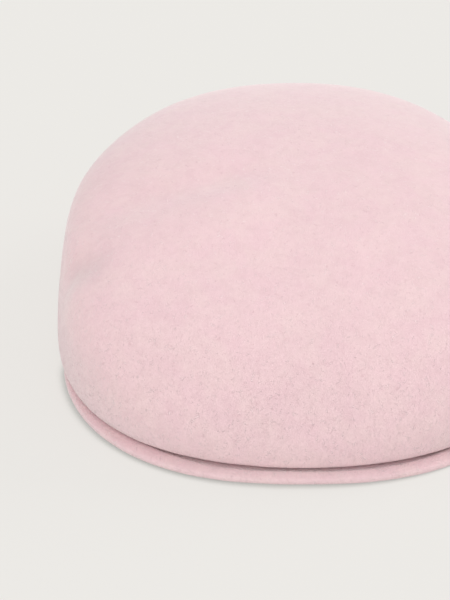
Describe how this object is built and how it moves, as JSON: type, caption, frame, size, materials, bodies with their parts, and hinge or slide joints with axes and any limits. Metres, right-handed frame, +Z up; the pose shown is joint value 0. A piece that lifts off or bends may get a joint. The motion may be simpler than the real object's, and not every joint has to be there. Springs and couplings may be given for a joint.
{
  "type": "flat cap",
  "caption": "Flat cap of felted wool: a seamless hollow crown, open below for the head, whose full nose rolls over a short, stiff, crescent-shaped peak.",
  "frame": {"origin": "on the table, under the middle of the cap's overall box", "axes": "+Z up; the peak points to -Y and the back to +Y; +X is the wearer's left"},
  "size_m": [0.2306, 0.2634, 0.0917],
  "materials": {
    "crown_felt": "soft felted wool, pale pink",
    "peak_felt": "soft felted wool, pale pink"
  },
  "bodies": {
    "root": {"crown": "crown_felt", "peak": "peak_felt"}
  },
  "joints": []
}
